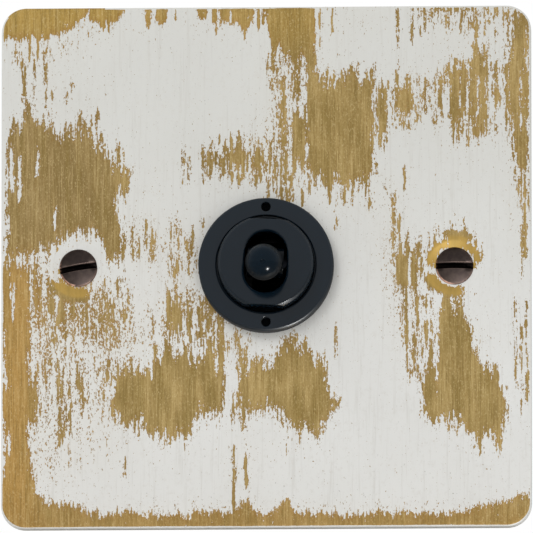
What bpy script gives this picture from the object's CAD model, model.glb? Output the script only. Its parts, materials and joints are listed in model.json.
import json
import math
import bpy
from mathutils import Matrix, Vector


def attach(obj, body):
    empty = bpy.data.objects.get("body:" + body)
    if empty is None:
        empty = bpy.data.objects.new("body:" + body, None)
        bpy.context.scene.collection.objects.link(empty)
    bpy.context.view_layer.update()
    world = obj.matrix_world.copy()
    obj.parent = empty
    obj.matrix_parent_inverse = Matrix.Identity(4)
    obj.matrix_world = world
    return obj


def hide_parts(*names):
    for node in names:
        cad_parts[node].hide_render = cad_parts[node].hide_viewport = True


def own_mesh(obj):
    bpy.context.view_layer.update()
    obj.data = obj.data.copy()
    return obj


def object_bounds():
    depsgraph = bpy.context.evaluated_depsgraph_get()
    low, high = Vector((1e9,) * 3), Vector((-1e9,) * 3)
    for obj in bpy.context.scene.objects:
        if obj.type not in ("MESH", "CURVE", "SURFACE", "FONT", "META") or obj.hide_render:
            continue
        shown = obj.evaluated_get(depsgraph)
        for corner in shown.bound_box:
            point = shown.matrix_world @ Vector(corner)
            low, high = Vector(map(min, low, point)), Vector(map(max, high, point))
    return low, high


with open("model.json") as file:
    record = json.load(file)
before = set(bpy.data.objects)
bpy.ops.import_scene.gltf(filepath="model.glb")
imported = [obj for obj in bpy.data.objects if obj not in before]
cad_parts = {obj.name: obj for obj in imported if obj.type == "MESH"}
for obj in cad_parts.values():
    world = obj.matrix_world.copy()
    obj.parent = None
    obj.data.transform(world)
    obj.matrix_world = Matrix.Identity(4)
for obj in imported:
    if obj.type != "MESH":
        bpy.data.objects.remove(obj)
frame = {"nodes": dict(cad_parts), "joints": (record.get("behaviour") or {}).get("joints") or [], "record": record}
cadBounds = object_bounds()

from types import SimpleNamespace as Values
import bmesh
import bpy
import numpy as np
from mathutils import Vector

nodes = frame["nodes"]
mm = 0.001  # the frame is in metres, and the sizes below are in millimetres
screwAcross = 30.15  # each fixing screw's distance from the plate's middle


# Shader maths

def operation(name, swapped=False):
    # a method that makes one Math node from its wire and the other value, if there is one
    def method(self, *others):
        values = (*others, self) if swapped else (self, *others)
        return self.finish.node("ShaderNodeMath", {"operation": name}, dict(enumerate(values)))
    return method


class Wire:
    # a socket that takes Python's arithmetic
    def __init__(self, finish, socket):
        self.finish = finish
        self.socket = socket

    __add__ = operation("ADD")
    __radd__ = operation("ADD", swapped=True)
    __sub__ = operation("SUBTRACT")
    __rsub__ = operation("SUBTRACT", swapped=True)
    __mul__ = operation("MULTIPLY")
    __abs__ = operation("ABSOLUTE")
    power = operation("POWER")
    larger = operation("MAXIMUM")

    def hypot(self, other):
        return (self * self + other * other).power(0.5)

    def step(self, low, high):
        # rises smoothly from 0 to 1 as the value goes from low to high
        settings = {"interpolation_type": "SMOOTHSTEP"}
        values = {"Value": self, "From Min": low, "From Max": high}
        return self.finish.node("ShaderNodeMapRange", settings, values)


class Finish:
    # one material with one Principled shader
    def __init__(self, name, **constants):
        self.material = bpy.data.materials.new(name)
        self.material.use_nodes = True
        self.tree = self.material.node_tree
        self.shader = self.tree.nodes["Principled BSDF"]
        for socketName, value in constants.items():
            self.shader.inputs[spaced(socketName)].default_value = value

    def node(self, kind, settings=None, values=None, out=0):
        made = self.tree.nodes.new(kind)
        for name, value in (settings or {}).items():
            setattr(made, name, value)
        for name, value in (values or {}).items():
            self.feed(made.inputs[name], value)
        return Wire(self, made.outputs[out])

    def feed(self, socket, value):
        if isinstance(value, Wire):
            self.tree.links.new(value.socket, socket)
        elif socket.type == "RGBA" and len(value) == 3:
            socket.default_value = (*value, 1.0)
        else:
            socket.default_value = value

    def spot(self, stretch=(1.0, 1.0, 1.0), shift=(0.0, 0.0, 0.0)):
        # object coordinates in millimetres, stretched and moved
        place = self.node("ShaderNodeTexCoord", out="Object")
        values = {0: place, 1: tuple(s / mm for s in stretch), 2: shift}
        return self.node("ShaderNodeVectorMath", {"operation": "MULTIPLY_ADD"}, values)

    def noise(self, stretch, detail, rough, shift=(0.0, 0.0, 0.0)):
        # stretch is how many waves there are to a millimetre along each axis
        values = {"Vector": self.spot(stretch, shift), "Scale": 1.0}
        values |= {"Detail": detail, "Roughness": rough}
        return self.node("ShaderNodeTexNoise", {}, values, out="Fac")

    def noises(self, table):
        return Values(**{name: self.noise(*settings) for name, settings in table.items()})

    def painted(self, name):
        return self.node("ShaderNodeAttribute", {"attribute_name": name}, out="Fac")

    def axes(self, vector):
        parts = self.tree.nodes.new("ShaderNodeSeparateXYZ")
        self.feed(parts.inputs[0], vector)
        return [Wire(self, parts.outputs[n]) for n in range(3)]

    def blend(self, share, first, second):
        values = {0: share, 6: first, 7: second}
        return self.node("ShaderNodeMix", {"data_type": "RGBA"}, values, out=2)

    def coats(self, under, *layers):
        # each layer is a share and a colour, laid over what is under it
        for share, colour in layers:
            under = self.blend(share, under, colour)
        return under

    def bump(self, height, depth, edgeRadius=None):
        # depth and the width of the softened edges are in millimetres
        values = {"Height": height, "Distance": depth * mm, "Strength": 1.0}
        if edgeRadius is not None:
            softened = self.node("ShaderNodeBevel", {"samples": 8}, {"Radius": edgeRadius * mm})
            values["Normal"] = softened
        return self.node("ShaderNodeBump", {}, values)

    def finished(self, **links):
        for socketName, value in links.items():
            self.feed(self.shader.inputs[spaced(socketName)], value)
        return self.material


def spaced(name):
    # baseColor becomes Base Color
    words = "".join(" " + c if c.isupper() else c for c in name).split()
    return " ".join(w[0].upper() + w[1:] for w in words).replace("I O R", "IOR")


def linear(red, green, blue):
    # a screen colour from 0 to 255, as the shader wants it
    shares = (v / 255.0 for v in (red, green, blue))
    return tuple(s / 12.92 if s <= 0.04045 else ((s + 0.055) / 1.055) ** 2.4 for s in shares)


# Camera, light and floor

view = {
    "elevation": -11.0,  # the eye is a little below the plate
    "azimuth": 1.8,      # and a little to its right
    "distance": 4000.0,
    "aim": (0.03, -1.6, 0.02),
    "frameWidth": 85.4,
    "sensor": 36.0,
    "clipStart": 0.01,
}
surround = 0.72  # the even light's level on the pieces
# Azimuth, elevation, distance, size, power, and whether polish shows it and dull pieces take it
lamps = {
    "softKey": (-28.0, 32.0, 1.1, 0.55, 3.0, False, True),
    "lowSpark": (41.0, -50.5, 0.6, 0.12, 12.0, True, False),
    "lowSheen": (-42.0, -46.0, 0.8, 0.16, 0.30, True, False),
}
ground = {"half": 3.0, "below": 0.3, "colour": (0.82, 0.82, 0.81, 1.0), "roughness": 0.9}


def towards(azimuth, elevation):
    # unit vector from the plate to a place in front of it
    a, e = math.radians(azimuth), math.radians(elevation)
    return Vector((math.sin(a) * math.cos(e), -math.cos(a) * math.cos(e), math.sin(e)))


def facing(obj, target):
    way = Vector(target) - obj.location
    obj.rotation_euler = way.to_track_quat("-Z", "Y").to_euler()


def makeCamera():
    data = bpy.data.cameras.new("camera")
    camera = bpy.data.objects.new("camera", data)
    bpy.context.scene.collection.objects.link(camera)
    aim = Vector(view["aim"]) * mm
    camera.location = aim + towards(view["azimuth"], view["elevation"]) * view["distance"] * mm
    facing(camera, aim)
    data.sensor_width = view["sensor"]
    data.lens = view["sensor"] * view["distance"] / view["frameWidth"]
    data.clip_start = view["clipStart"]
    bpy.context.scene.camera = camera


def makeLamp(name, azimuth, elevation, distance, size, power, glints, lights):
    data = bpy.data.lights.new(name, "AREA")
    data.shape = "DISK"
    data.size = size
    data.energy = power
    lamp = bpy.data.objects.new(name, data)
    bpy.context.scene.collection.objects.link(lamp)
    lamp.location = towards(azimuth, elevation) * distance
    lamp.visible_glossy = glints
    lamp.visible_diffuse = lights
    facing(lamp, (0.0, 0.0, 0.0))


def makeWorld(level):
    # even light at this level, which the eye and polished surfaces see as plain white
    world = bpy.data.worlds.new("studio")
    bpy.context.scene.world = world
    world.use_nodes = True
    tree = world.node_tree
    background = tree.nodes["Background"]
    background.inputs["Color"].default_value = (1.0, 1.0, 1.0, 1.0)
    path = tree.nodes.new("ShaderNodeLightPath")
    seen = path.outputs["Is Camera Ray"]
    for name in ("Is Glossy Ray", "Is Transmission Ray"):
        either = tree.nodes.new("ShaderNodeMath")
        either.operation = "MAXIMUM"
        tree.links.new(seen, either.inputs[0])
        tree.links.new(path.outputs[name], either.inputs[1])
        seen = either.outputs[0]
    strength = tree.nodes.new("ShaderNodeMapRange")
    strength.inputs["To Min"].default_value = level
    strength.inputs["To Max"].default_value = 1.0
    tree.links.new(seen, strength.inputs["Value"])
    tree.links.new(strength.outputs[0], background.inputs["Strength"])


def makeFloor():
    # a pale sheet under the plate, clear from below and to the low lamps' light
    half = ground["half"]
    low = cadBounds[0][2] - ground["below"] * mm
    corners = [(x * half, y * half, low) for x, y in ((-1, -1), (1, -1), (1, 1), (-1, 1))]
    mesh = bpy.data.meshes.new("floor")
    mesh.from_pydata(corners, [], [(0, 1, 2, 3)])
    floor = bpy.data.objects.new("floor", mesh)
    bpy.context.scene.collection.objects.link(floor)
    finish = Finish("floorPaper", roughness=ground["roughness"], baseColor=ground["colour"])
    clear = finish.node("ShaderNodeBsdfTransparent")
    under = finish.node("ShaderNodeNewGeometry", out="Backfacing")
    seenThrough = under.larger(finish.node("ShaderNodeLightPath", out="Is Shadow Ray"))
    paper = Wire(finish, finish.shader.outputs[0])
    mixed = finish.node("ShaderNodeMixShader", {}, {0: seenThrough, 1: paper, 2: clear})
    finish.tree.links.new(mixed.socket, finish.tree.nodes["Material Output"].inputs["Surface"])
    mesh.materials.append(finish.material)


bpy.context.scene.view_settings.view_transform = "Standard"
makeCamera()
makeWorld(surround)
for lampName, settings in lamps.items():
    makeLamp(lampName, *settings)
makeFloor()
print("camera, light and floor are set")


# Mesh helpers

close = 1e-6  # lengths that differ by less are the same


def addMesh(name, points, faces, material, body, sharp=30.0, layers=None, kept=None):
    # points in millimetres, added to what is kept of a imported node, if anything; faces are
    # turned outwards, and edges over the sharp angle stay crisp
    mesh = bpy.data.meshes.new(name)
    mesh.from_pydata((np.asarray(points) * mm).tolist(), [], faces)
    for layer, values in (layers or {}).items():
        attribute = mesh.attributes.new(layer, "FLOAT", "POINT")
        attribute.data.foreach_set("value", np.asarray(values, np.float32))
    work = kept or bmesh.new()
    work.from_mesh(mesh)
    bmesh.ops.recalc_face_normals(work, faces=work.faces)
    work.to_mesh(mesh)
    work.free()
    mesh.shade_smooth()
    mesh.set_sharp_from_angle(angle=math.radians(sharp))
    mesh.materials.append(material)
    obj = bpy.data.objects.new(name, mesh)
    bpy.context.scene.collection.objects.link(obj)
    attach(obj, body)
    return obj


def mergedCopy(node):
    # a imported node's mesh with its doubled corners merged
    work = bmesh.new()
    work.from_mesh(nodes[node].data)
    bmesh.ops.remove_doubles(work, verts=work.verts, dist=0.001 * mm)
    return work


def gridLines(breaks, step):
    # through every break, with even steps no longer than step says for the place
    breaks = sorted(set(round(b, 6) for b in breaks))
    spans = []
    for a, b in zip(breaks[:-1], breaks[1:]):
        count = max(1, math.ceil((b - a) / step(0.5 * (a + b)) - close))
        spans.append(np.linspace(a, b, count + 1)[:-1])
    return np.concatenate([*spans, [breaks[-1]]])


# Where the paint is worn off

# Patches of bare brass: outlines in millimetres (x, z)
wornPatches = {
    "cornerTopLeft": [(-47,52), (-28.2,52), (-28,41.4), (-29,39.6), (-30.2,38.6), (-32,37.2),
        (-34.8,36.5), (-36.5,36), (-40,36.2), (-47,36)],
    "topA": [(-28.4,41.9), (-22.5,41.9), (-22.8,40), (-24.5,38.6), (-26,38.1), (-27.2,38.8),
        (-28.4,39.4)],
    "topB": [(-19.5,41.6), (-18.3,41.6), (-18.5,38.2), (-19.2,37.6)],
    "topC": [(-17.9,42.1), (-15.5,42.1), (-15.8,39.3), (-16.8,38.4), (-17.8,39.3)],
    "topD": [(-11.3,41.9), (-9.5,41.9), (-9.6,39.6), (-10.8,39)],
    "topE": [(-7.6,42.1), (-1.9,42.1), (-2,39.4), (-3.4,37), (-4.4,38.4), (-6,38.8), (-7.4,38.2)],
    "topMiddle": [(-0.3,41.9), (7.7,41.9), (7.8,36), (7.5,31), (6.6,30), (5.6,33), (5,27.6),
        (4.3,27.4), (4.2,32), (3.3,33.5), (2.6,33), (2,35.2), (1.3,33.4), (0.3,37)],
    "bigLeft": [(-41.3,20.5), (-40.7,22.6), (-39.2,22.6), (-38.5,25.5), (-37.5,24.6), (-35,23),
        (-33.2,21), (-32,22.1), (-30.2,21), (-29,22.4), (-28,22), (-27,18.8), (-26,18.6), (-25,17),
        (-24,16.5), (-23.6,19), (-22.7,15.4), (-21.5,15), (-22.2,11.2), (-23.6,11.6), (-24.2,10),
        (-24,8.5), (-23,8), (-22.7,2), (-23.5,0.2), (-25,0.6), (-26,3), (-27,4.5), (-29,5.2),
        (-31,5), (-33,3.5), (-35,2.5), (-38,1.6), (-41.3,1)],
    "comb": [(-10.4,16.4), (-10,18.2), (-8.2,18.8), (-6.6,18), (-4.6,19.4), (-2.8,18.6), (-1.4,19.6),
        (-0.2,18), (-0.2,15.2), (-2.2,14.6), (-4.4,15.4), (-6.6,14.8), (-8.6,15.4)],
    "topMiddleCore": [(0.1,47), (7.7,47), (7.5,34.6), (6.6,33.4), (5,34.4), (3.4,34.2), (1.6,35.4),
        (0.4,37.2)],
    "topECore": [(-7.5,46), (-1.9,46), (-2.1,39.4), (-3.6,37.4), (-4.6,38.6), (-6.3,39),
        (-7.4,38.4)],
    "topCCore": [(-17.9,46), (-15.5,46), (-15.8,39.3), (-16.8,38.4), (-17.8,39.3)],
    "topACore": [(-28.2,46), (-22.6,46), (-22.9,40.4), (-24.5,39), (-26,38.6), (-27.6,39.6)],
    "middleColumn": [(2,31), (3.2,31), (3.3,19), (2.5,18.4), (2,22)],
    "middleLow": [(4,25), (6.6,25), (6.5,15.6), (5.2,15.2), (4,16)],
    "bigMiddle": [(6.2,29.6), (6.6,30.2), (8,30.6), (9.2,29.2), (10.4,29.8), (12,29.6), (13.5,31.6),
        (15,30), (16.4,30.4), (17.2,29), (17.2,15.4), (16.2,13.6), (16,11.4), (15,13.2), (13.7,12.6),
        (12.5,11), (11.3,13.6), (10,11.8), (8.8,14), (8,13.4), (6.8,13), (6.3,16)],
    "middleRight": [(17.3,29.3), (19.5,28.6), (19.5,20), (18.4,19), (17.3,20.5)],
    "rightA": [(20,28.6), (23.6,28.8), (23.4,25), (21.6,23.6), (20.2,22.4)],
    "rightB": [(27.1,30.5), (28.3,30.2), (28.1,23.6), (27.2,23)],
    "rightC": [(29.2,31), (32,31), (32,22), (30.6,21), (29.4,23.2)],
    "rightD": [(32.3,33.4), (33.4,35.4), (34.4,33.6), (35.5,34.6), (35.5,22), (34,21), (32.4,22)],
    "rightE": [(36.3,31.6), (37.2,31.6), (37,25.4), (36.5,25.4)],
    "rightF": [(38,31), (39,31), (38.9,24), (38.2,23)],
    "rightBand": [(39.4,40), (41.8,39.6), (41.8,15), (40.8,14.6), (39.8,17), (38.7,24), (38.4,31),
        (39,36)],
    "topRight": [(26.5,41.9), (36,42), (35.6,40.6), (31,40.2), (27,40.6)],
    "besideRing": [(20.4,2.6), (22.2,3.4), (24.2,2.8), (24.3,-3.8), (23,-4.6), (21.4,-4),
        (20.5,-2.6)],
    "leftColumn": [(-42.6,0.6), (-37.6,0.4), (-37.8,-9.6), (-38.2,-13.6), (-37.6,-18), (-36.4,-18.6),
        (-36.8,-24.8), (-37.8,-26.4), (-37.6,-32), (-36.8,-36), (-34.6,-37.6), (-36,-48), (-46,-48),
        (-42.8,-34), (-41.8,-32), (-41.8,-25.5), (-43,-24), (-42.6,-20), (-41.4,-18.6), (-42.2,-13)],
    "bottomBand": [(-47,-38.6), (-36,-37.4), (-31,-38), (-27,-39.6), (-21,-39.2), (-16,-39.9),
        (-10,-39.3), (-5.6,-39.4), (-3,-37.6), (-1.6,-39.2), (1.6,-39.4), (3.2,-37.8), (4.6,-39.4),
        (12,-39.7), (20,-39.2), (27,-39.9), (31,-39.4), (35,-38.5), (38,-37.8), (41,-36.8), (47,-35),
        (47,-56), (-47,-56)],
    "lowLeft": [(-24.8,-17), (-24.6,-21), (-24.5,-24), (-23,-24.8), (-20,-25.5), (-18.5,-27.3),
        (-15.5,-28), (-14,-27), (-13,-28.3), (-12.5,-26.5), (-11,-25.3), (-10.5,-23), (-10,-24.3),
        (-8.5,-23.8), (-6.8,-22.8), (-6.8,-18), (-7.5,-16.5), (-8.5,-13.5), (-9.3,-12.5),
        (-10,-15.3), (-11.5,-15), (-12.3,-12.5), (-14.5,-14.2), (-15,-12.8), (-16,-12.5),
        (-17,-14.5), (-17.8,-12.8), (-18.3,-16), (-20,-17), (-22,-16.5), (-24,-15.8)],
    "lowLeftA": [(-15.8,-5.6), (-13.2,-5.3), (-13.3,-11), (-14.6,-11.6), (-15.8,-10.4)],
    "lowLeftB": [(-13,-5.6), (-8.6,-5.4), (-8.3,-10.8), (-10,-11.4), (-12.8,-11)],
    "lowLeftC": [(-8,-8), (-6.8,-8.6), (-6.7,-15.6), (-7.8,-15.4)],
    "lowMiddle": [(-4.8,-14.5), (-3.3,-12.8), (-3,-17), (-2,-16), (0,-14.8), (1.5,-14.5),
        (2.5,-12.8), (4.2,-12), (5.5,-13), (6.5,-12.8), (7.3,-14), (8,-15), (9.2,-14.5), (9.6,-17),
        (10,-20), (11.2,-20.5), (11.5,-21.8), (10.8,-24), (9,-25.5), (8.3,-27.3), (7,-27), (4.5,-26),
        (3,-25.3), (1,-23.3), (-1,-23), (-3,-24), (-4,-25.3), (-4.5,-22)],
    "lowRight": [(28.2,-4.5), (31.8,-4.5), (31.8,-8), (33,-10.5), (33.2,-13), (34,-14.8), (35,-16),
        (36.8,-17), (38,-20.5), (38.5,-24), (37.8,-26.5), (37.2,-29.3), (36,-28), (34.8,-27.8),
        (34.2,-29.3), (33,-28), (31.5,-26), (30,-25.2), (26.3,-25.3), (25,-23.5), (24.8,-20),
        (25,-16), (27.3,-16), (27.2,-10)],
    "underLeftScrew": [(-35,-5), (-30,-5), (-30.4,-8.6), (-33,-9.2), (-35,-8)],
}

# Patches where the paint is rubbed thin and brass shows in broken upright dashes
thinPatches = {
    "besideLeftScrew": [(-42,4), (-37,3), (-35.6,0), (-36.2,-5), (-37.6,-10), (-37.5,-16),
        (-42,-16)],
    "underLeftScrew": [(-35.6,-4.6), (-30,-4), (-26,-3.4), (-22.6,-2.6), (-22.2,-8), (-23.6,-12),
        (-27,-11.6), (-30,-10), (-34,-11.4), (-36,-9)],
    "leftStreaksA": [(-36.2,-15), (-34.6,-15), (-34.4,-23), (-36.4,-24)],
    "leftStreaksB": [(-33.4,-16), (-31.6,-14), (-31.2,-26), (-33.2,-27)],
    "leftStreaksC": [(-30.2,-15.6), (-28.8,-15), (-28.6,-22), (-30,-23)],
    "besideLowLeft": [(-27,-16), (-24.6,-15.6), (-24.4,-23), (-26,-22)],
    "nearRing": [(-15.8,5.6), (-14.4,6.2), (-13.2,4.2), (-13.4,-0.4), (-15.4,-1)],
    "nearRingB": [(-12.6,3), (-11.2,3), (-11.2,0), (-12.4,-0.6)],
    "aboveLowLeft": [(-15.8,-5.2), (-12.4,-5.4), (-8.6,-5), (-7,-9), (-7,-13), (-12,-12.6),
        (-16.4,-12)],
    "betweenLow": [(-6.2,-12), (-3,-12), (-2.6,-14), (-5.8,-15)],
    "middleTop": [(0.2,33), (8.4,33), (8,29.4), (4.6,26.6), (3.6,19), (1.8,19), (1.6,27), (0.4,30)],
    "middleLeft": [(0.2,19.6), (6.4,25), (6.4,14), (3.6,10.6), (0.2,12)],
    "rightUpper": [(19.8,30), (25.6,29), (25.4,24), (23,23), (20,22)],
    "rightUpperB": [(28.6,31.5), (36,33), (36.4,22), (33,20), (29.4,21)],
    "rightSide": [(38,40), (41.9,41), (41.9,10), (40.6,9), (38.4,22), (37.8,31)],
    "underTopRight": [(25,41.6), (37.5,41.6), (37,38.6), (31,38.2), (26,39.4)],
    "besideRing": [(20.6,2.6), (22.4,4), (24.8,2.8), (25,-4), (23.4,-6), (21.8,-5), (20.6,-3.4)],
    "underBesideRing": [(21.6,-4), (26.4,-4.6), (27,-11), (26.8,-16), (24.6,-18), (22.6,-16),
        (21.8,-10)],
    "topLeft": [(-42,38), (-30,39), (-28,37.4), (-34,34.4), (-38,32.4), (-42,33)],
    "rightScrew": [(25.8,1.6), (26.8,4.2), (30,5.6), (33.2,4.2), (34.4,0.6), (33,2.4), (30,4.2),
        (27.2,2.4)],
}

# Upright scrapes by their width: (x, lowest z, highest z)
wornStreaks = {
    0.25: [(-19.2,3.2,6.6), (10.6,37,41), (21.9,12,15.5), (26.2,25,29), (21,35.6,41), (24.7,37,41),
        (25.4,37.4,41), (-22.5,-33.4,-31)],
    0.3: [(-14.5,39,41.5), (-0.5,38.6,41.8), (-37,24,33), (-13,2,4), (-21.4,2,6.4), (-20.3,1.4,4.4),
        (8.6,34,41.4), (11.2,6,11), (33.6,36,41), (34.8,36.6,41), (23.3,36,41), (36.5,36,41),
        (3.3,-31,-25), (11,-14,-10), (39.8,-20,-6), (40.7,-24,-10), (41.5,-22,-6)],
    0.35: [(-18.3,1.2,5.6), (-26,37.8,40), (-25.2,37.2,40), (-8,37.2,41), (-6.7,14,19), (-10,5.6,7),
        (3.8,11,13), (1,30.5,34), (9.8,28,31.2), (25.3,24.5,28.5), (41.3,1,15), (40.8,-1,6),
        (-6,-14,-12), (25.4,-7.2,-5), (24.8,-15,-10)],
    0.4: [(-18,-11.4,-7.6), (-36.6,33,36.4), (-3.5,36.2,39), (-35.3,25,32), (-32,26.4,27.6),
        (-34.3,26.2,27.8), (-27.2,23,24), (-26.3,19.4,20.6), (-13.3,13.5,17.3), (-12.4,12.5,17),
        (-3.6,13.4,20.2), (-2.6,13,19.6), (-1.6,13.2,20.4), (-14,-0.8,5), (-11.7,1,5), (1.5,15,18),
        (8,12.2,16), (13.7,9.8,14), (15.1,12.4,16), (16.5,9,11), (19.1,11.8,12.8), (14.6,28,32),
        (16.9,27,31), (23.3,24.4,28.6), (36.8,24.6,32.4), (21.2,3,7.4), (-5.3,-25,-20),
        (-3.2,-35,-31), (24,-11,-5), (24.2,-18.4,-16), (-3,-40,-37.4), (3.2,-40,-37.6),
        (2.5,-16,-12.6), (6.4,-16,-12.6)],
    0.45: [(-38.7,26,32), (-4.5,13,20.6), (-0.7,13.6,19.4), (-18,0.4,5.5), (5.8,9.6,11.8),
        (12.5,9.8,14), (20.1,22,28.8), (38.5,22.6,31.6), (34.2,-29.4,-27), (37.2,-29.4,-26)],
    0.5: [(-37.8,32.8,36.4), (-1.2,37.8,42), (-31.2,28.3,29.6), (-29.7,23,24.2), (-10,13.4,19),
        (-9,14,20), (-7.5,13.2,20.4), (-5.5,13.6,20.2), (-15.2,-0.8,7), (0.6,12,19), (3.1,11.4,17.4),
        (7.3,27,28.4), (6.9,11.6,16), (10.1,9.8,15), (16,10.6,14), (21,24,30), (22.5,24,30),
        (30,21,31), (31.5,20.6,31.5), (33,20.6,35.6), (34.6,20.8,35), (40,16,34), (20.4,1,10.6),
        (-5.2,-39.5,-29.2), (-15.4,-11.6,-4.8), (-14.2,-12.4,-5), (-12.2,-12.2,-5),
        (-10.6,-11.6,-4.6), (-9.2,-12.4,-4.8), (22.4,-16.4,-5), (26.2,-16,-12), (-38,20,25.6),
        (-29,19,23), (-23.6,14,19.2), (-17.8,-16,-12.6), (-16,-15,-12.3), (-12.3,-16,-12.2),
        (-9.2,-16,-12.2), (-3.3,-17,-12.6), (4.2,-16,-11.8)],
    0.55: [(2.4,10.6,18)],
    0.6: [(6.9,28.6,33), (-41.6,-13,-1), (-40.4,-19,-11), (-30.2,-9,-5), (-34.4,-8.6,-4.6),
        (-7.4,-16,-7.6), (25.5,-12,-9), (30.9,-10,-4), (29,-10,-4)],
    0.7: [(-32.4,-9.4,-5)],
    0.8: [(-8.3,38.9,42)],
    2: [(-29,42.1,42.4)],
    3: [(-24,42.1,42.4)],
}

# Slits of paint left in bare patches, in the same form
paintSlits = {
    0.3: [(-36.4,14,18), (-33.8,6,9), (31,25,30), (35,27,32)],
    0.35: [(40.6,22,30), (22.9,-3,1.4)],
    0.4: [(27.2,-21,-17), (33.8,24,30), (-5.7,38.6,40.4)],
    0.45: [(-39.5,11,17)],
    0.5: [(30,-8,-5), (-40.4,-8,-3), (-41,-30,-27), (-31.6,-8,-5.6), (-33.5,-8,-5.4),
        (-11.4,-10.4,-6), (-9.9,-10.6,-7)],
    0.6: [(-40.7,12,19)],
    0.7: [(5.7,24,31.6)],
    0.8: [(3.4,24.6,31)],
}

# Places with scattered specks: (x, z, reach across, reach up, how many)
speckFields = [
    (-32, -7, 7, 6, 0.55), (-27, -10, 6, 8, 0.45), (-37, -12, 4, 12, 0.5), (-32, -20, 7, 8, 0.42),
    (-26, -24, 4, 5, 0.35), (-36, -30, 5, 7, 0.42), (-30, -30, 6, 5, 0.18), (-37, -3, 4, 5, 0.5),
    (-31, 27, 7, 5, 0.18), (-36, 28, 3, 5, 0.3), (-17, 3, 4, 5, 0.42), (-12, 2, 3, 5, 0.42),
    (-18, 14, 5, 5, 0.16), (-21, 4, 2.5, 5, 0.45), (-27, 37, 6, 2.5, 0.25), (-34, 34, 5, 2.5, 0.25),
    (-11, -6, 5, 4, 0.5), (-18, -9, 5, 5, 0.42), (-22, -12, 4, 4, 0.3), (-5, -12, 3, 4, 0.45),
    (1, -11, 4, 2.5, 0.2), (2, 24, 4, 8, 0.45), (2, 14, 5, 5, 0.32), (-6, 16.5, 6, 4, 0.3),
    (22, -8, 3, 8, 0.45), (20, 2, 3, 7, 0.45), (35, -10, 4, 6, 0.14), (9, 34, 5, 6, 0.2),
    (3, 32, 3, 5, 0.35), (24, 27, 6, 4, 0.24), (32, 27, 6, 6, 0.28), (31, 37, 6, 4, 0.26),
    (40, 8, 2, 10, 0.3), (40, 26, 2.5, 12, 0.4), (-24, -30, 8, 4, 0.16), (-4, -32, 3, 6, 0.22),
    (10, -32, 12, 5, 0.05), (30, -34, 8, 5, 0.08), (19, 12, 4, 4, 0.26), (12, 10, 5, 3, 0.22),
    (0, 40, 12, 3, 0.3), (18, 40, 8, 3, 0.15), (-12, 24, 8, 5, 0.04), (31, 16, 6, 5, 0.1),
    (-2, -28, 8, 4, 0.14), (-29, -3, 3, 2, 0.3), (30, -12, 5, 5, 0.2), (28, 1, 4, 5, 0.2),
    (0, -38.5, 40, 1.2, 0.25), (11, 20, 5, 8, 0.1),
]

upright = 0.33  # worn ends run up and down, so heights count for a third in distances
patchReach = (4, 9)  # distances are worked out this far round a patch, across and up
strokeReach = (1.5, 3)
wearLevels = {
    "paint": -4.0,    # far from any patch
    "worn": 9.0,      # more than the depth of any patch
    "thin": -0.12,    # just short of brass, and noise breaks them up
    "deepFrom": 0.6,  # depth past this grows faster, so that no paint is left
    "deepen": 1.9,
    "dish": 1.2,      # the most in a screw's dish
}

# Arcs of brass in the screws' dishes: (first angle, last angle, inner radius, outer radius). The
# short ones are bright spots at the ends of the slots.
dishArcs = {
    -1: [(206, 292, 3.2, 5.7), (183, 197, 2.8, 3.5)],
    1: [(56, 112, 2.7, 5.9), (100, 176, 3.2, 4.7), (8, 62, 3.3, 4.5), (202, 292, 3.3, 5.2),
        (173, 187, 2.8, 3.5), (-7, 7, 2.8, 3.5)],
}
arcFade = {"short": 4.0, "long": 14.0, "longFrom": 30.0, "edges": 1.8}


def outlineDistance(x, z, corners):
    # distance to the nearest side, positive inside, where the way out crosses an odd count of sides
    px, pz = x, z * upright
    corners = np.asarray(corners, float) * (1.0, upright)
    nearest = np.full(x.shape, 1e9)
    inside = np.zeros(x.shape, bool)
    for (ax, az), (bx, bz) in zip(corners, np.roll(corners, -1, axis=0)):
        dx, dz = bx - ax, bz - az
        along = np.clip(((px - ax) * dx + (pz - az) * dz) / (dx * dx + dz * dz), 0.0, 1.0)
        nearest = np.minimum(nearest, np.hypot(px - ax - along * dx, pz - az - along * dz))
        if az != bz:
            crosses = (az > pz) != (bz > pz)
            inside ^= crosses & (px < ax + dx * (pz - az) / dz)
    return np.where(inside, nearest, -nearest)


def strokeDistance(x, z, strokes):
    # twice the most of half a stroke's width less the distance to its upright line
    deepest = np.full(x.shape, -np.inf)
    reachX, reachZ = strokeReach
    for width, lines in strokes.items():
        for across, low, high in lines:
            near = (abs(x - across) < reachX) & (z > low - reachZ) & (z < high + reachZ)
            beyond = np.maximum(low + width - z[near], z[near] - high + width)
            beyond = np.maximum(beyond, 0.0) * upright
            distance = 2.0 * (0.5 * width - np.hypot(x[near] - across, beyond))
            deepest[near] = np.maximum(deepest[near], distance)
    return deepest


def wearAt(x, z):
    # the largest of all patches and scrapes, less the slits
    levels = Values(**wearLevels)
    wear = np.full(x.shape, levels.paint)
    for patches, most in ((wornPatches, levels.worn), (thinPatches, levels.thin)):
        for corners in patches.values():
            low, high = np.min(corners, 0) - patchReach, np.max(corners, 0) + patchReach
            near = (x > low[0]) & (x < high[0]) & (z > low[1]) & (z < high[1])
            depth = outlineDistance(x[near], z[near], corners)
            wear[near] = np.maximum(wear[near], np.minimum(depth, most))
    wear = np.maximum(wear, strokeDistance(x, z, wornStreaks))
    deep = levels.deepFrom
    wear = np.where(wear > deep, deep + (wear - deep) * levels.deepen, wear)
    return np.minimum(wear, -strokeDistance(x, z, paintSlits))


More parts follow.
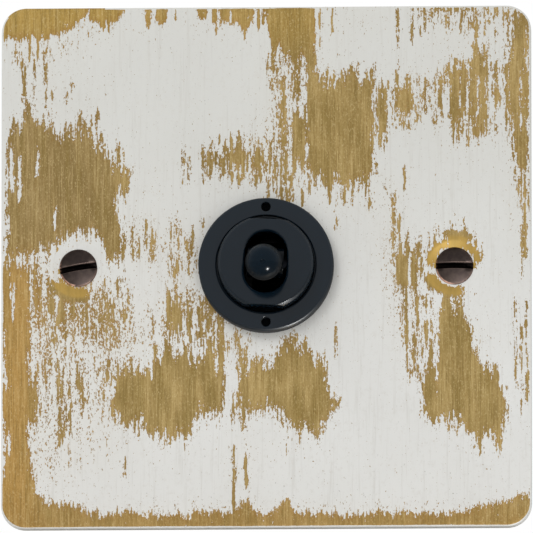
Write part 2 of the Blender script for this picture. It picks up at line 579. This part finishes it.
def dishWear(x, z):
    # in an arc the smaller of the distances from its ends and from its edges
    levels = Values(**wearLevels)
    wear = np.full(x.shape, levels.paint)
    for side, arcs in dishArcs.items():
        u, v = x - side * screwAcross, z
        r, turn = np.hypot(u, v), np.degrees(np.arctan2(v, u)) % 360
        for start, end, inner, outer in arcs:
            fade = arcFade["short" if end - start < arcFade["longFrom"] else "long"]
            off = abs((turn - 0.5 * (start + end) + 180) % 360 - 180)
            fromEnds = (0.5 * (end - start) - off) / fade
            fromEdges = arcFade["edges"] * np.minimum(r - inner, outer - r)
            depth = np.clip(np.minimum(fromEnds, fromEdges), levels.paint, levels.dish)
            wear = np.maximum(wear, depth)
    return wear


def specksAt(x, z):
    # a sum of bells: e to the minus square of the distance over the reach, times the strength
    amount = np.zeros(x.shape)
    for across, up, reachX, reachZ, strength in speckFields:
        amount += strength * np.exp(-(((x - across) / reachX) ** 2) - ((z - up) / reachZ) ** 2)
    return np.clip(amount, 0.0, 1.0)


# The plate's finish

plateLook = {
    "paint": (220, 220, 215), "paintLow": (233, 233, 230), "paintCloud": (204, 202, 196),
    "paintSweep": (199, 196, 188), "paintMottle": (206, 202, 194), "paintSpecked": (212, 204, 184),
    "dirt": (150, 146, 136), "brass": (170, 145, 91), "brassDark": (140, 117, 64),
    "brassGold": (178, 145, 70), "brassWarm": (178, 138, 72), "brassAshen": (126, 104, 66),
    "brassLow": (156, 122, 62), "brassColumn": (138, 116, 58), "brassRim": (150, 110, 52),
    "hairDark": (118, 96, 46), "hairPale": (198, 174, 122), "grainPale": (206, 184, 134),
    "grainDark": (122, 88, 34),
}
plateLook = {name: linear(*screen) for name, screen in plateLook.items()}
# For each noise the waves to a millimetre, detail, roughness and shift
plateNoise = {
    "long": ((1.1, 1, 0.14), 3, 0.6),
    "comb": ((3.6, 1, 0.50), 2, 0.5, (7, 0, 3)),
    "grit": ((3.4, 1, 2.3), 2, 0.6, (3, 0, 9)),
    "dots": ((3.9, 1, 2.1), 2, 0.65, (13, 0, 5)),
    "lanes": ((1.3, 1, 0.10), 2, 0.55, (41, 0, 2)),
    "left": ((2.6, 1, 1.7), 2, 0.55, (23, 0, 15)),
    "sweep": ((2.2, 1, 0.10), 3, 0.6, (1, 0, 21)),
    "cloud": ((0.05, 1, 0.05), 2, 0.5, (4, 0, 2)),
    "mottle": ((1.6, 1, 1.2), 3, 0.6, (14, 0, 12)),
    "dirt": ((4, 1, 2.2), 2, 0.5, (31, 0, 17)),
    "hair": ((4.2, 1, 0.18), 3, 0.65, (5, 0, 1)),
    "grain": ((5.2, 1, 3), 2, 0.65, (2, 0, 8)),
    "tone": ((0.22, 1, 0.09), 3, 0.55, (9, 0, 6)),
    "column": ((0.9, 1, 0.05), 2, 0.5, (19, 0, 6)),
}


def plateFinish():
    finish = Finish("paintOverBrass")
    look, noise = Values(**plateLook), finish.noises(plateNoise)
    across, depth, up = finish.axes(finish.spot())
    wear, specks = finish.painted("wear"), finish.painted("specks")
    hair, grain = noise.hair, noise.grain
    # patches at the top left, the bottom and the top have straighter edges
    calm = (up.step(32.5, 34.5) * across.step(-26, -30)).larger(up.step(-34.5, -36.5))
    calm = calm.larger(up.step(33, 36) * across.step(9.5, 8) * 1.2)
    ragged = (noise.long - 0.5) * 2.3 + (noise.comb - 0.5) * 2.3 + (noise.grit - 0.5) * 1.9
    edge = wear + ragged * (1 - calm * 0.55)
    patch = edge.step(-0.04, 0.05)

    # dots of brass where the paint has chipped, and dots of paint left near a patch's edge
    lanes = noise.lanes.step(0.38, 0.62)
    thick = specks * (0.10 + lanes * 0.17) + edge.step(-1.3, 0) * 0.05
    chips = (noise.dots + thick).step(0.725, 0.75)
    islands = (noise.left - edge.step(0.2, 1.6) * 0.14 + specks * 0.06).step(0.71, 0.725)
    bare = patch.larger(chips) * (1 - islands)

    paint = finish.coats(
        finish.blend(up.step(30, -25), look.paint, look.paintLow),
        ((noise.cloud - 0.35) * 0.5, look.paintCloud),
        (noise.sweep.step(0.52, 0.75) * 0.32, look.paintSweep),
        (noise.mottle.step(0.5, 0.8) * 0.3, look.paintMottle),
        (noise.dirt.step(0.715, 0.76) * 0.55, look.dirt),
        (specks * 0.22, look.paintSpecked),
    )

    # brass, brushed up and down, but rubbed smooth and golden round the screws
    warm = (1 - across.step(-40, -34)) * up.step(8, -4)
    ashen = across.step(-22, -27) * up.step(-1, 5) * up.step(34, 30)
    gold = up.step(32, 41) * (1 - across.step(-30, -10) * 0.4) * across.step(11, 8)
    fromScrew = (abs(across) - screwAcross).hypot(up)
    smooth = fromScrew.step(5.3, 4.6) * depth.step(-0.9, -1.1)
    rubbed = 1 - smooth * 0.8
    brass = finish.coats(
        finish.blend(noise.tone.step(0.36, 0.64), look.brassDark, look.brass),
        (warm * 0.8, look.brassWarm),
        (ashen * 0.5, look.brassAshen),
        (gold.larger(smooth) * 0.8, look.brassGold),
        (up.step(-36, -42) * 0.6, look.brassLow),
        (noise.column.step(0.45, 0.7) * 0.35, look.brassColumn),
        (hair.step(0.44, 0.70) * rubbed * 0.60, look.hairDark),
        ((1 - hair).step(0.50, 0.72) * rubbed * 0.45, look.hairPale),
        (grain.step(0.54, 0.74) * rubbed * 0.50, look.grainPale),
        ((1 - grain).step(0.56, 0.74) * rubbed * 0.55, look.grainDark),
        ((1 - edge.step(0, 0.5)) * 0.42, look.brassRim),
    )

    colour = finish.blend(bare, paint, brass)
    rough = 0.55 - bare * 0.10 + (hair - 0.5) * 0.14
    height = (1 - bare) * (0.8 + noise.grit * 0.08) + noise.sweep * 0.06
    normal = finish.bump(height + bare * (hair * 0.14 + grain * 0.06), 0.03)
    return finish.finished(baseColor=colour, roughness=rough, metallic=bare * 0.62, normal=normal)


# The plate's sheet

plate = {
    "half": 42.5, "thick": 1.6, "corner": 4.0, "edge": 0.35, "rimSteps": (0.0, 0.02, 0.08, 0.18),
    "holeRadius": 1.95, "seatRadius": 3.065, "seatStep": 0.004, "seatWall": 0.1,
    "dishRadius": 4.3, "dishDeep": 0.35, "squareAgain": 6.0, "bushRadius": 7.809,
    "bushSquareAgain": 9.5,
    "wearAcross": 0.9955,  # the worn patches were measured on a view that is a little squat
    "wearUp": 0.978, "wearShift": -0.31, "stepAcross": 0.17, "stepUp": 0.62,
    "stepUpByScrews": 0.3, "sharp": 28.0,
}

# Paint and brass at the sheet's rims, whatever the patches say
plateRims = {
    "seatPaint": 0.1,  # the seats are bare from this far inside their edge
    "seatWear": 1.5,
    "sidePaint": 0.3,  # a line of paint up the sides to a height
    "sidePaintTo": 41.0,
    "rimPaint": 0.2,  # and along the rest, but for the bare corner
    "bareCornerTo": -26.0,
    "rimWear": -1.1,
    "wallWear": -0.8,
    "wallPaintTo": -0.12,  # the sides' paint ends short of the back
    "backWear": 4.0,
}


def plateWear(points, fromRim):
    # how bare and how specked the front is at each point
    p, ends = Values(**plate), Values(**plateRims)
    x, z = points[:, 0], points[:, 2]
    patternX, patternZ = x * p.wearAcross, z * p.wearUp + p.wearShift
    wear = np.maximum(wearAt(patternX, patternZ), dishWear(x, z))
    distance = np.hypot(abs(x) - screwAcross, z)
    inDish = distance < p.dishRadius
    wear[inDish] = np.minimum(wear[inDish], dishWear(x[inDish], z[inDish]))
    wear[distance < p.seatRadius - ends.seatPaint] = ends.seatWear
    rimmed = (fromRim < ends.sidePaint) & (abs(z) < ends.sidePaintTo)
    rimmed |= (fromRim < ends.rimPaint) & ((z < 0) | (x > ends.bareCornerTo))
    wear[rimmed] = np.minimum(wear[rimmed], ends.rimWear)
    return wear, specksAt(patternX, patternZ)


def makePlate(material):
    # A grid whose square rings round each hole are drawn in to circles, and in the corners to arcs.
    # The front's depth follows from the ring or from the distance to the rim.
    p, ends = Values(**plate), Values(**plateRims)
    rims = [p.half - d for d in (*p.rimSteps, p.edge, p.corner)]
    seat = [p.seatRadius - p.seatStep, p.seatRadius]
    radii = [p.holeRadius, *seat, p.dishRadius, p.squareAgain]
    bush = [p.bushRadius, p.bushSquareAgain]
    columns = rims + bush + [screwAcross] + [screwAcross + s * r for r in radii for s in (1, -1)]
    rows = rims + bush + radii
    stepsUp = {True: p.stepUpByScrews, False: p.stepUp}
    xs = gridLines(columns + [-c for c in columns] + [0.0], lambda at: p.stepAcross)
    zs = gridLines(rows + [-r for r in rows] + [0.0], lambda at: stepsUp[abs(at) < p.squareAgain])
    gridX, gridZ = np.meshgrid(xs, zs, indexing="ij")
    x, z = gridX.copy(), gridZ.copy()

    d = np.minimum(p.half - abs(gridX), p.half - abs(gridZ))
    inRim = np.clip(p.edge - d, 0.0, p.edge)
    y = -p.thick + p.edge - np.sqrt(p.edge ** 2 - inRim ** 2)

    straight = p.half - p.corner
    u, v = abs(gridX) - straight, abs(gridZ) - straight
    corner = (u > 0) & (v > 0)
    draw = np.maximum(u, v) / np.hypot(np.where(corner, u, 1), np.where(corner, v, 1))
    x = np.where(corner, np.sign(gridX) * (straight + u * draw), x)
    z = np.where(corner, np.sign(gridZ) * (straight + v * draw), z)

    holes = []
    for centre, inner, outer, radius in (
        (-screwAcross, p.dishRadius, p.squareAgain, p.holeRadius),
        (0.0, p.bushRadius, p.bushSquareAgain, p.bushRadius),
        (screwAcross, p.dishRadius, p.squareAgain, p.holeRadius),
    ):
        u, v = gridX - centre, gridZ
        ring = np.maximum(abs(u), abs(v))
        around = np.maximum(np.hypot(u, v), close)
        t = np.clip((ring - inner) / (outer - inner), 0.0, 1.0)
        t = t * t * (3 - 2 * t)
        draw = ring / around * (1 - t) + t
        here = ring <= outer
        x = np.where(here, centre + u * draw, x)
        z = np.where(here, v * draw, z)
        if centre:
            rise = (p.dishRadius - ring) / (p.dishRadius - p.seatRadius)
            dish = -p.thick + p.dishDeep * rise
            cone = p.dishDeep - p.thick + p.seatWall + (p.seatRadius - ring)
            y = np.where(ring < p.dishRadius, dish, y)
            y = np.where(ring < p.seatRadius - 0.5 * p.seatStep, cone, y)
        rim = np.argwhere(abs(ring - radius) < close)
        angle = np.arctan2(v[tuple(rim.T)], u[tuple(rim.T)])
        holes.append((ring, radius, rim[np.argsort(angle)], np.sort(angle)))

    columnsN, rowsN = gridX.shape
    number = np.arange(columnsN * rowsN).reshape(columnsN, rowsN)
    quads = np.stack([number[:-1, :-1], number[1:, :-1], number[1:, 1:], number[:-1, 1:]], -1)
    quads = quads.reshape(-1, 4)
    keep = np.ones(len(quads), bool)
    for ring, radius, _, _ in holes:
        keep &= ring.reshape(-1)[quads].max(1) > radius + close
    quads = quads[keep]

    # the grid's rim in one loop from the middle of its right side
    middle = int(np.argmin(abs(zs)))
    last, top = columnsN - 1, rowsN - 1
    loop = np.concatenate([
        number[last, middle:], number[:last, top][::-1], number[0, :top][::-1],
        number[1:last + 1, 0], number[last, 1:middle],
    ])
    points = np.stack([x, y, z], -1).reshape(-1, 3)
    wear, specks = plateWear(points, d.reshape(-1))

    # walls down to the back, where the sheet is plain brass
    faces = quads.tolist()
    extra, extraWear, backLoops = [], [], []
    for way, upper in enumerate([loop] + [number[tuple(rim.T)] for _, _, rim, _ in holes]):
        start = len(points) + sum(len(e) for e in extra)
        low, back = points[upper].copy(), points[upper].copy()
        low[:, 1] = low[:, 1] * 0.5 if way else np.maximum(low[:, 1], ends.wallPaintTo)
        back[:, 1] = 0.0
        extra += [low, back]
        bare = np.full(len(upper), ends.backWear)
        extraWear += [np.minimum(wear[upper], bare if way else ends.wallWear), bare]
        lowN = np.arange(start, start + len(upper))
        backN = lowN + len(upper)
        for here, there in ((upper, lowN), (lowN, backN)):
            faces += np.stack([here, np.roll(here, -1), np.roll(there, -1), there], -1).tolist()
        backLoops.append(backN)

    # the back is two faces, each with its half of the rim and of every hole's edge
    outer = backLoops[0]
    leftAt = int(np.argwhere(loop == number[0, middle])[0, 0])
    upperHalf, lowerHalf = list(outer[:leftAt + 1]), list(outer[leftAt:]) + [outer[0]]
    through, underneath = [], []
    for (ring, radius, rim, angle), backN in zip(holes, backLoops[1:]):
        atZero = int(np.argmin(abs(angle)))
        atHalf = int(np.argmax(angle)) if angle.max() > math.pi - close else int(np.argmin(angle))
        turned = np.roll(backN, -atZero)
        endAt = (atHalf - atZero) % len(backN)
        through += list(turned[:endAt + 1][::-1])
        underneath += [list(turned[endAt:]) + [turned[0]]]
    faces.append([int(n) for n in upperHalf + through])
    faces.append([int(n) for n in lowerHalf + [n for part in underneath[::-1] for n in part[::-1]]])

    points = np.concatenate([points] + extra)
    wear = np.concatenate([wear] + extraWear)
    specks = np.concatenate([specks, np.zeros(len(points) - len(specks))])
    used = np.zeros(len(points), bool)
    for corners in (quads.reshape(-1), *backLoops, *(b - len(b) for b in backLoops)):
        used[corners] = True
    renumber = np.cumsum(used) - 1
    faces = [[int(renumber[n]) for n in face] for face in faces]
    layers = {"wear": wear[used], "specks": specks[used]}
    sheet = addMesh(
        "plateSheet", points[used], faces, material, "housing", p.sharp, layers
    )
    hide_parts("front_plate")
    print("plate:", len(faces), "faces, grid", columnsN, "by", rowsN)


makePlate(plateFinish())


# Black parts

blackLook = {
    "deep": (0.0018, 0.0074, 0.0138),
    "faded": (0.0038, 0.0100, 0.0172),
    "dust": linear(96, 100, 104),
    "shade": (0.0006, 0.0009, 0.0014),
    "wallDepth": (-3.44, -3.38),  # the ring's outer wall
    "wallRadius": (10.66, 10.72),
    "holeUp": 9.367,  # the spanner holes
    "holeRadius": (0.80, 0.74),
    "slotRadius": (4.9, 4.8),
    "neckDepth": (-9, -10.5),  # only the lever stands out as far as this
    "edgeWidth": 0.15,
}
blackNoise = {
    "cloud": ((0.25, 0.25, 0.25), 2, 0.5),
    "grain": ((2.4, 2.4, 2.4), 3, 0.6, (4, 1, 2)),
    "dust": ((7, 7, 7), 2, 0.5, (9, 3, 5)),
    "scuff": ((0.9, 0.9, 14), 3, 0.6, (2, 7, 1)),
}


def blackFinish(name, roughness, peel, rounding, gloss, edgeFrom, dullPast):
    finish = Finish(name, specularIORLevel=gloss)
    look, noise = Values(**blackLook), finish.noises(blackNoise)
    across, depth, up = finish.axes(finish.spot())
    dust, scuff = noise.dust.step(0.72, 0.78), noise.scuff.step(0.66, 0.74)
    # the ring's outer wall, the spanner holes and all that is deep in the slot are dull
    radius = across.hypot(up)
    wall = depth.step(*look.wallDepth) * radius.step(*look.wallRadius)
    hole = (abs(up) - look.holeUp).hypot(across).step(*look.holeRadius)
    inside = depth.step(*dullPast) * radius.step(*look.slotRadius)
    dull = wall.larger(hole)
    neck = inside * depth.step(*look.neckDepth)
    colour = finish.coats(
        finish.blend(noise.cloud, look.deep, look.faded),
        (dust * 0.10, look.dust),
        (dull.larger(inside) * 0.85, look.shade),
    )
    rough = roughness + (noise.cloud - 0.5) * 0.08 + dust * 0.25 + scuff * 0.06
    rough = rough + radius.step(edgeFrom, edgeFrom + look.edgeWidth) * 0.16
    rough = rough + dull.larger(neck) * (1 - rough)
    normal = finish.bump(noise.grain, peel, rounding)
    return finish.finished(baseColor=colour, roughness=rough, normal=normal)


# Fixing screws

bronzeLook = {
    "brown": linear(50, 43, 41), "brownPale": linear(62, 54, 50),
    "rubbed": linear(196, 158, 140), "lip": linear(132, 112, 102), "grime": (0.004, 0.003, 0.003),
    "rimRadius": (2.72, 2.92), "headRadius": (3.05, 2.95), "headDepth": (-0.8, -0.9),
    "slotLean": 0.1691,  # how much the left screw's slot rises along its line
    "slotHalf": (0.52, 0.47), "slotDepth": (-2.02, -1.78), "ridgeHalf": (0.26, 0.12),
    "peel": 0.004, "rounding": 0.20,
}
bronzeNoise = {
    "rubbing": ((2, 2, 2), 2, 0.5),
    "stain": ((1.2, 1.2, 1.2), 4, 0.6, (3, 1, 6)),
    "grime": ((3, 3, 3), 3, 0.6, (6, 2, 1)),
}


def bronzeFinish():
    finish = Finish("darkBronze", metallic=1)
    look, noise = Values(**bronzeLook), finish.noises(bronzeNoise)
    across, depth, up = finish.axes(finish.spot())
    leftOne = across.step(0.5, -0.5)
    side = abs(across) - screwAcross
    radius = side.hypot(up)
    # the rim is rubbed, most of all at its lower left
    lowLeft = (side * (1 - leftOne * 2) * -0.83 - up * 0.55).step(1.5, 2.6)
    rubbing = (lowLeft * 0.9 + 0.1) * noise.rubbing.step(0.3, 0.5)
    worn = radius.step(*look.rimRadius) * rubbing
    # the slot is black with old paint and wax
    fromLine = abs(up - (across + screwAcross) * (leftOne * look.slotLean))
    head = radius.step(*look.headRadius) * depth.step(*look.headDepth)
    slot = fromLine.step(*look.slotHalf) * depth.step(*look.slotDepth) * head
    ridge = fromLine.step(*look.ridgeHalf) * noise.grime.step(0.3, 0.6)
    lip = fromLine.step(0.46, 0.52) * fromLine.step(0.66, 0.58) * radius.step(2.9, 2.6) * head
    colour = finish.coats(
        finish.blend(noise.stain.step(0.35, 0.7), look.brown, look.brownPale),
        (worn * 0.9, look.rubbed),
        (lip * 0.16, look.lip),
        (slot * (0.97 - ridge * 0.3), look.grime),
    )
    rough = 0.66 + (noise.stain - 0.5) * 0.3 + slot * 0.25 - worn * 0.15
    normal = finish.bump(noise.grime, look.peel, look.rounding)
    return finish.finished(baseColor=colour, roughness=rough, normal=normal)


# Parts behind the plate

def metalFinish(name, colour, darker, roughness, grain):
    finish = Finish(name, metallic=1)
    brush = finish.noise((6, 6, 0.6), 3, 0.6)
    stain = finish.noise((0.7, 0.7, 0.7), 3, 0.6, (4, 2, 1))
    stained, brushed = stain.step(0.4, 0.75) * 0.6, brush.step(0.4, 0.7) * 0.25
    tone = finish.coats(colour, (stained, darker), (brushed, darker))
    rough = roughness + (brush - 0.5) * 0.2 + stain.step(0.5, 0.8) * 0.1
    return finish.finished(baseColor=tone, roughness=rough, normal=finish.bump(brush, grain))


def mouldFinish(name, colour, paler, roughness, grain, size=5.0, gloss=0.5):
    finish = Finish(name, specularIORLevel=gloss)
    speckle = finish.noise((size, size, size), 3, 0.6)
    flow = finish.noise((0.3, 0.3, 0.12), 3, 0.55, (5, 5, 5))
    share = flow.step(0.35, 0.75) * 0.5 + speckle.step(0.55, 0.8) * 0.3
    tone = finish.blend(share, colour, paler)
    rough = roughness + (flow - 0.5) * 0.15
    return finish.finished(baseColor=tone, roughness=rough, normal=finish.bump(speckle, grain))


# Finishes by the record's slots, and one for the knob.
# Black: name, roughness, peel's depth, softened edges' width, gloss, radius of the worn edge, and
# depths between which the slot turns dull
blacks = {
    "black_ring": ("blackEnamel", 0.17, 0.0012, 0.26, 0.27, 10.4, (-5.7, -5.3)),
    "black_gloss": ("blackGloss", 0.11, 0.0006, 0.34, 0.26, 7.25, (-5.7, -5.3)),
    "knob": ("blackKnob", 0.13, 0.0005, 0.12, 0.085, 12, (-15.6, -14)),
}
# Metal: name, colour, darker colour, roughness and depth of the grain
metals = {
    "blued_steel": ("bluedSteel", linear(13, 14, 17), linear(8, 8, 11), 0.8, 0.002),
    "dull_brass": ("dullBrass", linear(30, 26, 19), linear(20, 17, 13), 0.8, 0.003),
    "steel": ("brightZinc", linear(196, 196, 192), linear(150, 150, 148), 0.3, 0.003),
    "spring_wire": ("springWire", linear(170, 170, 168), linear(120, 120, 120), 0.28, 0.001),
    "bare_brass": ("rolledBrass", linear(206, 172, 104), linear(160, 124, 66), 0.3, 0.003),
    "contact_silver": ("silverButton", linear(214, 212, 206), linear(168, 164, 156), 0.28, 0.001),
}
# Mouldings: name, colour, paler colour, roughness, depth and size of the speckle, and gloss
mouldings = {
    "black_nylon": ("blackNylon", (0.003, 0.003, 0.004), (0.006, 0.006, 0.008), 0.45, 0.002, 5, 0.1),
    "moulding": ("blackMoulding", (0.012, 0.012, 0.013), (0.03, 0.028, 0.027), 0.42, 0.003),
    "fibre": ("redFibre", linear(120, 44, 30), linear(158, 72, 48), 0.75, 0.012, 3),
}
finishes = {"bronze_screw": bronzeFinish()}
for make, table in ((blackFinish, blacks), (metalFinish, metals), (mouldFinish, mouldings)):
    finishes |= {slot: make(*values) for slot, values in table.items()}
for entry in frame["record"]["subparts"]:
    if entry["material_slot"] in finishes:
        mesh = nodes[entry["node"]].data
        mesh.materials.clear()
        mesh.materials.append(finishes[entry["material_slot"]])
nodes["dolly"].data.materials[0] = finishes["knob"]
nodes["common_strip"].data.materials[0] = finishes["dull_brass"]
print("finishes are on the packed nodes")


# Threaded shanks of the fixing screws

thread = {
    "kept": 0.1, "start": -0.3, "neck": 1.62, "crest": 1.745, "deep": 0.34, "pitch": 0.6,
    "runIn": 0.45, "coneFrom": 16.67, "end": 17.49, "endRadius": 0.82, "around": 36,
    "rowsPerTurn": 10, "sharp": 34.0,
}


def makeScrews(material):
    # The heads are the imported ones. The shank's radius is the crest's less the thread's depth times
    # a triangle wave of (distance along over pitch, less turn), and it narrows to the point.
    p = Values(**thread)
    heads = mergedCopy("fixing_screws")
    everything = heads.verts[:] + heads.edges[:] + heads.faces[:]
    cut = {"plane_co": (0.0, p.kept * mm, 0.0), "plane_no": (0, 1, 0)}
    bmesh.ops.bisect_plane(heads, geom=everything, clear_outer=True, **cut)
    bmesh.ops.holes_fill(heads, edges=heads.edges[:])

    count = int((p.end - p.start) / p.pitch * p.rowsPerTurn)
    rows = np.linspace(p.start, p.end, count)
    turns = np.linspace(0, 2 * math.pi, p.around, endpoint=False)
    along, turn = np.meshgrid(rows, turns, indexing="ij")
    wave = abs((along / p.pitch - turn / (2 * math.pi)) % 1.0 * 2 - 1)
    fade = np.clip((along - p.runIn) / p.pitch, 0, 1)
    radius = p.crest - p.deep * (1 - wave) * fade
    radius = np.where(along < p.runIn, p.neck, radius)
    toEnd = (along - p.coneFrom) / (p.end - p.coneFrom)
    cone = p.crest + (p.endRadius - p.crest) * toEnd
    radius = np.minimum(radius, cone)
    number = np.arange(radius.size).reshape(radius.shape)
    beside = np.roll(number, -1, 1)
    points, faces = [], []
    for side in (-1, 1):
        offset = len(points) * radius.size
        x = side * screwAcross + radius * np.cos(turn)
        points.append(np.stack([x, along, radius * np.sin(turn)], -1).reshape(-1, 3))
        quads = np.stack([number[:-1], beside[:-1], beside[1:], number[1:]], -1).reshape(-1, 4)
        faces += (quads + offset).tolist()
        faces += [(number[0] + offset).tolist(), (number[-1] + offset).tolist()]
    screws = addMesh(
        "threadedScrews", np.concatenate(points), faces, material, "housing",
        p.sharp, kept=heads,
    )
    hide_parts("fixing_screws")
    print("screws:", len(screws.data.polygons), "faces")


makeScrews(finishes["bronze_screw"])


# The spring in the dolly's tail, pressed shorter as the plunger goes in

def makeSpring(material):
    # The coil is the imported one, pressed along the plunger's line towards its front end. The share
    # of its length that is kept is one less the slide's range over that length.
    coil = mergedCopy("plunger_spring")
    points = np.array([v.co for v in coil.verts])
    slide = next(joint for joint in frame["joints"] if joint["name"] == "plunger_slide")
    axis = np.array(slide["axis"], float)
    axis *= math.copysign(1.0, axis[1]) / np.linalg.norm(axis)
    along = points @ axis
    length = along.max() - along.min()
    fixedEnd = points[along.argmin()]
    spring = addMesh(
        "coilSpring", np.empty((0, 3)), [], material, "dolly", sharp=40.0, kept=coil
    )
    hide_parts("plunger_spring")
    keep = 1 - slide["range_m"][1] / length
    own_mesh(spring)
    facesN, kept = len(spring.data.polygons), round(float(keep), 3)
    print("spring:", facesN, "faces, length", round(length / mm, 2), "kept", kept)


makeSpring(finishes["spring_wire"])
